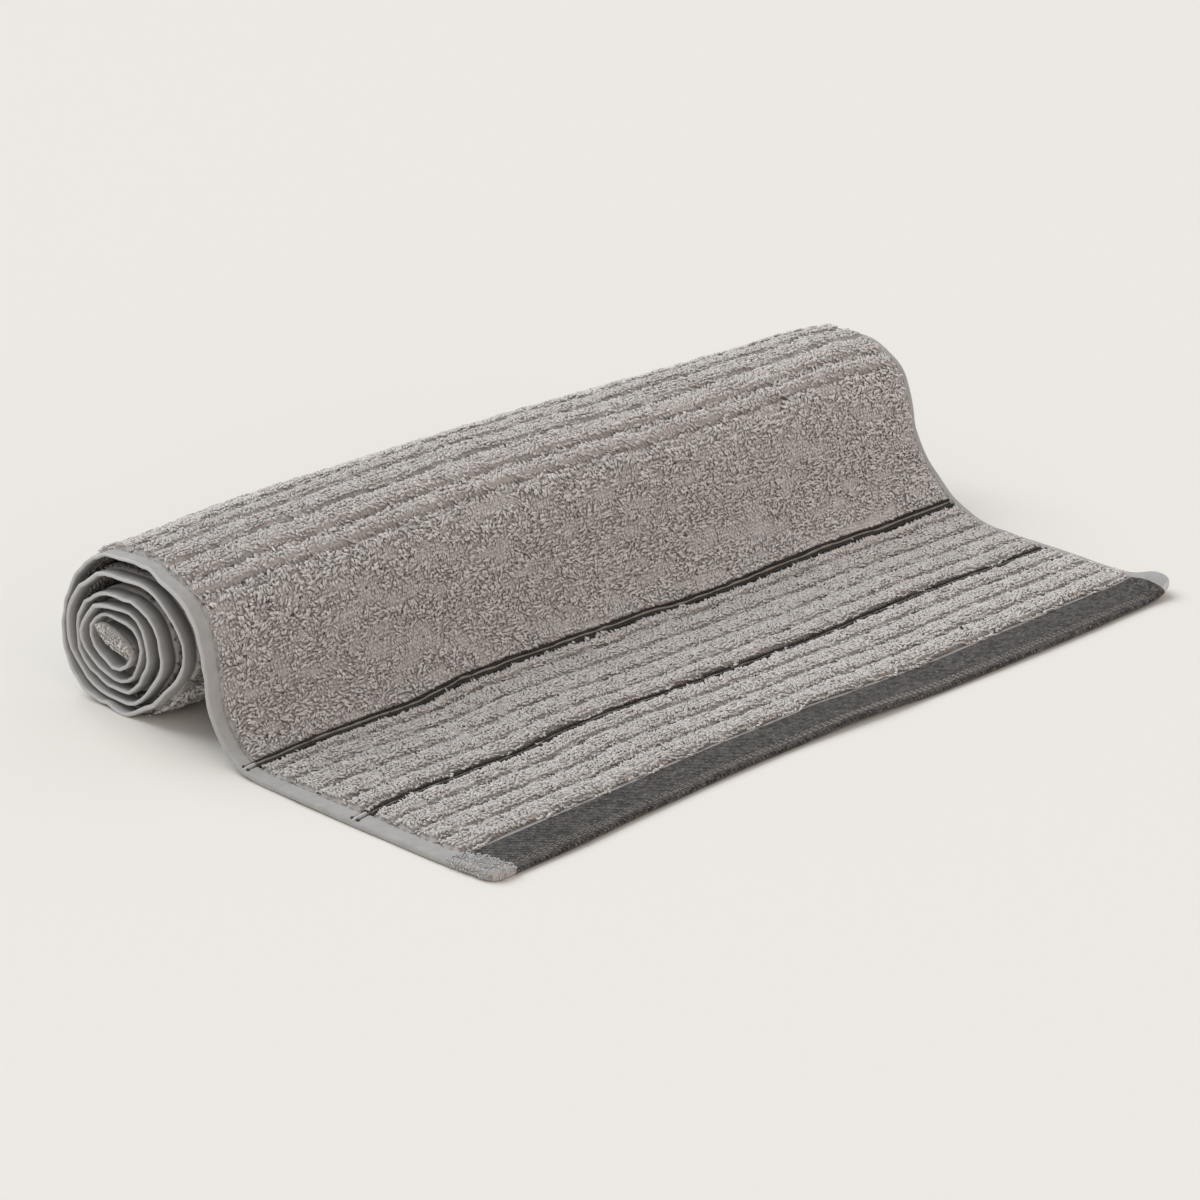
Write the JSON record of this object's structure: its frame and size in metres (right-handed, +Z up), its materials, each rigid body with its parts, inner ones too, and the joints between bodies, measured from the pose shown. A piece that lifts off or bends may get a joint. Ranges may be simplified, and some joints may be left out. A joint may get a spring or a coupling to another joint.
{
  "type": "rolled face towel",
  "caption": "Ribbed grey terry face towel, rolled up with its near end lying flat, with a dark woven band along the edge and narrow dark stripes across.",
  "frame": {"origin": "on the surface that the towel rests on, in the middle of the ground that it covers", "axes": "+X along the roll, +Y from the loose front edge to the back of the roll, +Z up"},
  "size_m": [0.4154, 0.2546, 0.0792],
  "materials": {
    "terry": "matt cut-loop terry pile, light warm grey, in ribs that run across the cloth",
    "side_hem": "matt flat woven hem, light cool grey",
    "end_band": "matt twill-woven band, charcoal with fine light flecks",
    "stripe": "matt flat woven stripe, dark grey",
    "thread": "light grey sewing thread"
  },
  "bodies": {
    "root": {"towel": "terry"}
  },
  "joints": []
}
